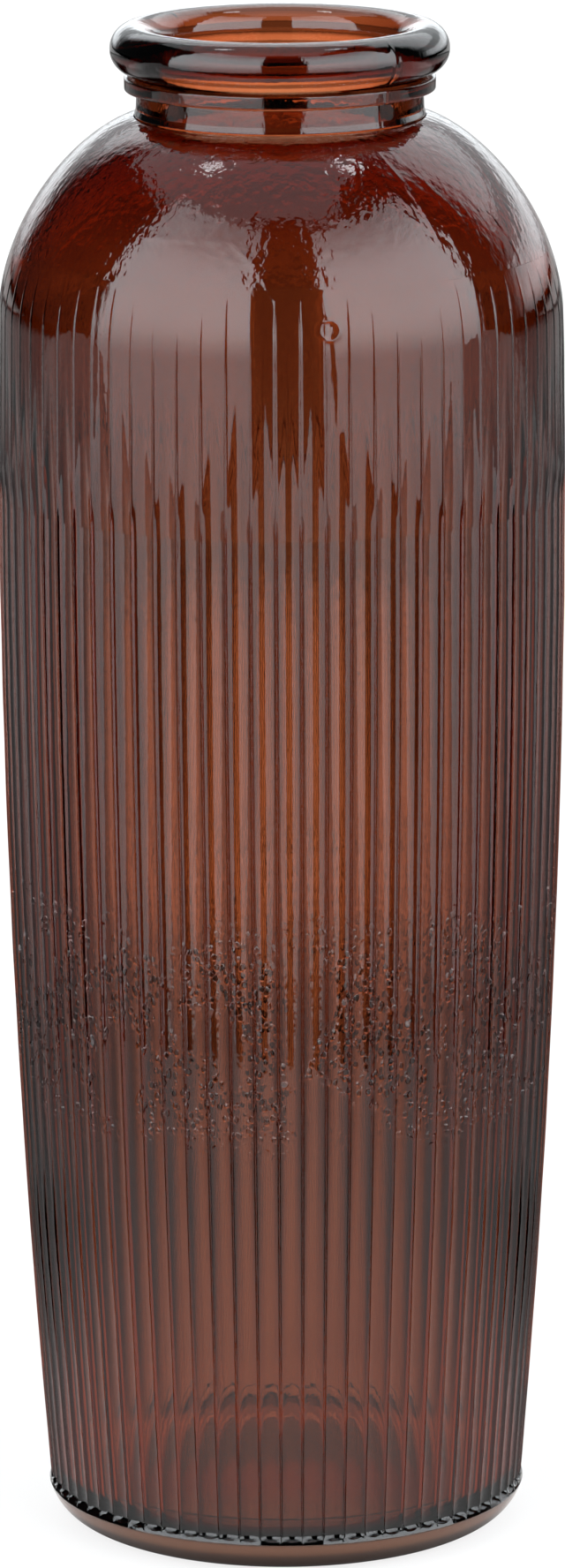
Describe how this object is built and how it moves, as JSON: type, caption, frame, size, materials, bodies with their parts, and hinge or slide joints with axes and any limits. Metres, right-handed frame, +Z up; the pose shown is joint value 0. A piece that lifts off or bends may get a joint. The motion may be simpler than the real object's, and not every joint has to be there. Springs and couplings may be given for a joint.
{
  "type": "ribbed glass vase",
  "caption": "Tall amber-brown glass vase with a rolled lip, a stepped collar, a domed shoulder, fine upright flutes and a plain heel.",
  "frame": {"origin": "centre of the foot ring, on the surface the vase stands on", "axes": "+Z up along the axis of the vase; -Y towards the side the camera sees"},
  "size_m": [0.1472, 0.1472, 0.4],
  "materials": {
    "amber_glass": "gloss"
  },
  "bodies": {
    "root": {"lip_bead": "amber_glass", "collar_upper_band": "amber_glass", "collar_lower_band": "amber_glass", "shoulder_dome": "amber_glass", "flute_runout": "amber_glass", "ribbed_wall": "amber_glass", "heel_band": "amber_glass", "base_floor": "amber_glass"}
  },
  "joints": []
}
